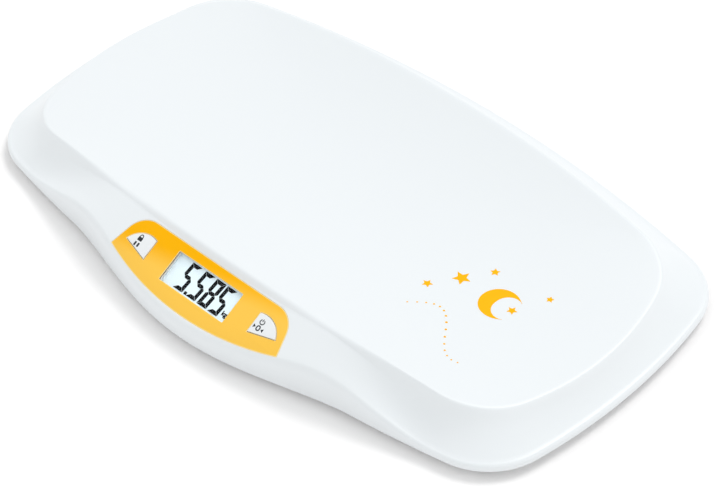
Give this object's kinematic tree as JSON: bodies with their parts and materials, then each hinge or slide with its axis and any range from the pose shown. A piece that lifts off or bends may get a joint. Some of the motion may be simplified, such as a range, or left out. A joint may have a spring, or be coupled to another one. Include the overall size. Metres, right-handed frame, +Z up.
{
  "type": "digital baby weighing scale",
  "caption": "Low white baby scale: a dished tray with a raised soft crest, a sloping console with display and keys in its front rim, and load cell feet below.",
  "frame": {"origin": "on the floor under the middle of the outline's box", "axes": "+X along the scale, +Y from the console's side to the back, +Z up"},
  "size_m": [0.555, 0.3434, 0.053],
  "materials": {
    "shell_white": "glossy white ABS",
    "base_white": "fine-textured white ABS",
    "plate_yellow": "satin yellow",
    "lens_clear": "clear acrylic",
    "lcd_glass": "grey-green glass",
    "frame_white": "plain",
    "zebra_rubber": "striped",
    "board_green": "solder mask",
    "screw_steel": "zinc plated",
    "chip_resin": "black resin",
    "key_white": "smooth white",
    "switch_black": "plain",
    "pad_rubber": "soft grey",
    "foot_white": "plain",
    "cell_steel": "stamped",
    "clamp_grey": "plain",
    "lead_grey": "vinyl insulation",
    "battery_sleeve": "plain printed sleeve",
    "contact_steel": "nickel plated spring steel",
    "lead_red": "vinyl insulation",
    "lead_black": "vinyl insulation"
  },
  "bodies": {
    "housing": {"top_shell": "shell_white", "base_shell": "base_white", "console_plate": "plate_yellow", "display_window": "lens_clear", "lcd_panel": "lcd_glass", "lcd_frame": "frame_white", "zebra_strip": "zebra_rubber", "main_board": "board_green", "board_screw_1": "screw_steel", "board_screw_2": "screw_steel", "board_screw_3": "screw_steel", "board_screw_4": "screw_steel", "base_screw_1": "screw_steel", "base_screw_2": "screw_steel", "base_screw_3": "screw_steel", "base_screw_4": "screw_steel", "base_screw_5": "screw_steel", "base_screw_6": "screw_steel", "base_screw_7": "screw_steel", "base_screw_8": "screw_steel", "controller_chip": "chip_resin", "hold_switch": "switch_black", "tare_switch": "switch_black", "load_cell_front_left": "cell_steel", "load_cell_clamp_front_left": "clamp_grey", "load_cell_lead_front_left": "lead_grey", "load_cell_front_right": "cell_steel", "load_cell_clamp_front_right": "clamp_grey", "load_cell_lead_front_right": "lead_grey", "load_cell_back_left": "cell_steel", "load_cell_clamp_back_left": "clamp_grey", "load_cell_lead_back_left": "lead_grey", "load_cell_back_right": "cell_steel", "load_cell_clamp_back_right": "clamp_grey", "load_cell_lead_back_right": "lead_grey", "battery_1": "battery_sleeve", "battery_2": "battery_sleeve", "battery_3": "battery_sleeve", "contact_positive": "contact_steel", "contact_bridge_left": "contact_steel", "contact_bridge_right": "contact_steel", "contact_negative": "contact_steel", "battery_lead_positive": "lead_red", "battery_lead_negative": "lead_black"},
    "hold_key": {"hold_key": "key_white"},
    "tare_key": {"tare_key": "key_white"},
    "battery_door": {"battery_door": "base_white"},
    "foot_front_left": {"foot_front_left": "foot_white", "foot_pad_front_left": "pad_rubber"},
    "foot_front_right": {"foot_front_right": "foot_white", "foot_pad_front_right": "pad_rubber"},
    "foot_back_left": {"foot_back_left": "foot_white", "foot_pad_back_left": "pad_rubber"},
    "foot_back_right": {"foot_back_right": "foot_white", "foot_pad_back_right": "pad_rubber"}
  },
  "joints": [
    {"name": "hold_key_press", "type": "slide", "parent": "housing", "child": "hold_key", "axis": [0, 0.4894, -0.8721], "range_m": [0, 0.0006], "stiffness_N_per_m": 1500, "springref_m": -0.0003},
    {"name": "tare_key_press", "type": "slide", "parent": "housing", "child": "tare_key", "axis": [0, 0.4894, -0.8721], "range_m": [0, 0.0006], "stiffness_N_per_m": 1500, "springref_m": -0.0003},
    {"name": "battery_door_hinge", "type": "hinge", "parent": "housing", "child": "battery_door", "pos_m": [0, 0.0528, 0.0063], "axis": [1, 0, 0], "range_deg": [0, 90]},
    {"name": "foot_front_left_travel", "type": "slide", "parent": "housing", "child": "foot_front_left", "axis": [0, 0, 1], "range_m": [0, 0.00025], "stiffness_N_per_m": 1000, "springref_m": -0.004},
    {"name": "foot_front_right_travel", "type": "slide", "parent": "housing", "child": "foot_front_right", "axis": [0, 0, 1], "range_m": [0, 0.00025], "stiffness_N_per_m": 1000, "springref_m": -0.004},
    {"name": "foot_back_left_travel", "type": "slide", "parent": "housing", "child": "foot_back_left", "axis": [0, 0, 1], "range_m": [0, 0.00025], "stiffness_N_per_m": 1000, "springref_m": -0.004},
    {"name": "foot_back_right_travel", "type": "slide", "parent": "housing", "child": "foot_back_right", "axis": [0, 0, 1], "range_m": [0, 0.00025], "stiffness_N_per_m": 1000, "springref_m": -0.004}
  ]
}
